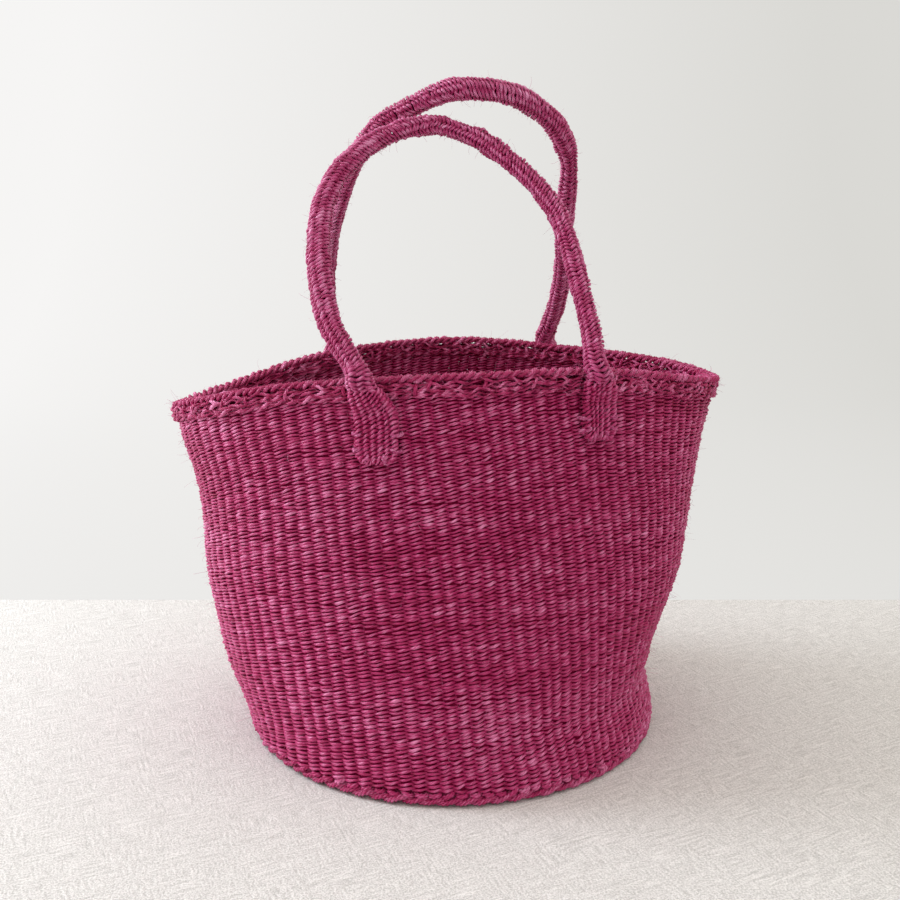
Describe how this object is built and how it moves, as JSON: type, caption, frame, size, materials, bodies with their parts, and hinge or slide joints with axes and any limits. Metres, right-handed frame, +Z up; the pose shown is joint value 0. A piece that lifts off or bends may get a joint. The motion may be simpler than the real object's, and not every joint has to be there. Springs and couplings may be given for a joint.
{
  "type": "kiondo basket",
  "caption": "Soft twined sisal basket with a round flat base, an oval mouth with an overcast rim, and twined rope handles that fold down over its sides.",
  "frame": {"origin": "middle of the base, on the floor that it stands on", "axes": "+Z up, +X to the basket's right as seen in the picture, -Y to its front"},
  "size_m": [0.3331, 0.263, 0.388],
  "materials": {
    "base_disc": "twined dyed sisal, satin fibre",
    "base_start": "twined dyed sisal, satin fibre",
    "base_border": "twined dyed sisal, satin fibre",
    "wall": "twined dyed sisal, satin fibre",
    "rim_core": "bundle of dyed sisal cord ends",
    "rim_binding": "overcast dyed sisal, satin fibre",
    "front_handle_core": "bundle of dyed sisal cords",
    "front_handle_sleeve": "twined dyed sisal, satin fibre",
    "front_tab_left": "twined dyed sisal, satin fibre",
    "front_tab_right": "twined dyed sisal, satin fibre",
    "front_stitching_left": "dyed sisal sewing twine",
    "front_stitching_right": "dyed sisal sewing twine",
    "back_handle_core": "bundle of dyed sisal cords",
    "back_handle_sleeve": "twined dyed sisal, satin fibre",
    "back_tab_left": "twined dyed sisal, satin fibre",
    "back_tab_right": "twined dyed sisal, satin fibre",
    "back_stitching_left": "dyed sisal sewing twine",
    "back_stitching_right": "dyed sisal sewing twine"
  },
  "bodies": {
    "basket": {"base_disc": "base_disc", "base_start": "base_start", "base_border": "base_border", "wall": "wall", "rim_core": "rim_core", "rim_binding": "rim_binding", "front_tab_left": "front_tab_left", "front_tab_right": "front_tab_right", "back_tab_left": "back_tab_left", "back_tab_right": "back_tab_right", "front_stitching_left": "front_stitching_left", "front_stitching_right": "front_stitching_right", "back_stitching_left": "back_stitching_left", "back_stitching_right": "back_stitching_right"},
    "front_handle": {"front_handle_core": "front_handle_core", "front_handle_sleeve": "front_handle_sleeve"},
    "back_handle": {"back_handle_core": "back_handle_core", "back_handle_sleeve": "back_handle_sleeve"}
  },
  "joints": [
    {"name": "front_handle_fold", "type": "hinge", "parent": "basket", "child": "front_handle", "pos_m": [0.01458, -0.09925, 0.23412], "axis": [0.9977, 0.0575, 0.0345], "range_deg": [0, 178]},
    {"name": "back_handle_fold", "type": "hinge", "parent": "basket", "child": "back_handle", "pos_m": [-0.00668, 0.09737, 0.23172], "axis": [-0.9995, -0.0185, -0.026], "range_deg": [0, 178]}
  ]
}
